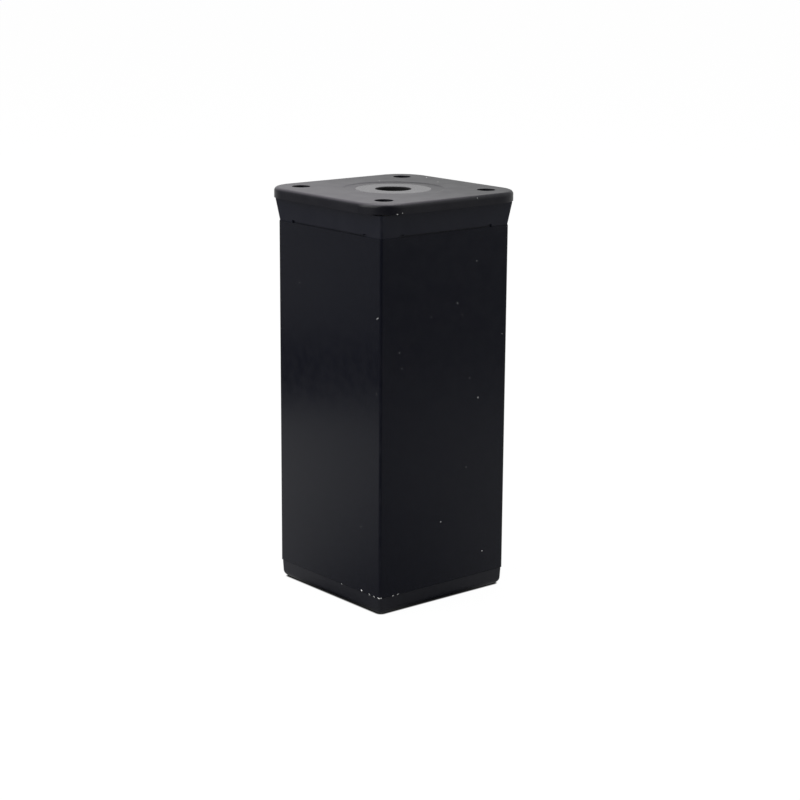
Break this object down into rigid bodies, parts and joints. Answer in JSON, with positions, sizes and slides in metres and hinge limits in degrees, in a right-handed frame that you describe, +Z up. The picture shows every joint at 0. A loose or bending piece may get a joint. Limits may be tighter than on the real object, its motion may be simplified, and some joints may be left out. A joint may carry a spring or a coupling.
{
  "type": "furniture leg",
  "caption": "Square black furniture leg with a screw-on plate on a flared collar and a square foot that a captive spindle lowers for levelling.",
  "frame": {"origin": "on the floor at the middle of the foot, with the foot screwed home", "axes": "+Z up along the tube, X and Y square to the tube's faces"},
  "size_m": [0.046, 0.046, 0.1],
  "materials": {
    "black_steel": "satin black powder coat",
    "black_aluminium": "satin black coating",
    "black_plastic": "fine moulded texture",
    "zinc_steel": "bright zinc plate"
  },
  "bodies": {
    "leg": {"mounting_plate": "black_steel", "plate_bush": "black_steel", "collar_nut": "zinc_steel", "collar": "black_plastic", "tube": "black_aluminium", "tube_insert": "black_plastic", "insert_nut": "zinc_steel"},
    "foot": {"foot": "black_plastic"},
    "spindle": {"levelling_spindle": "zinc_steel"}
  },
  "joints": [
    {"name": "foot_slide", "type": "slide", "parent": "leg", "child": "foot", "axis": [0, 0, -1], "range_m": [0, 0.015]},
    {"name": "spindle_turn", "type": "hinge", "parent": "foot", "child": "spindle", "pos_m": [0, 0, 0.02], "axis": [0, 0, -1], "range_deg": [0, 3600]}
  ],
  "couplings": [
    {"joint": "spindle_turn", "follows": "foot_slide", "rad_per_m": 4188.7}
  ]
}
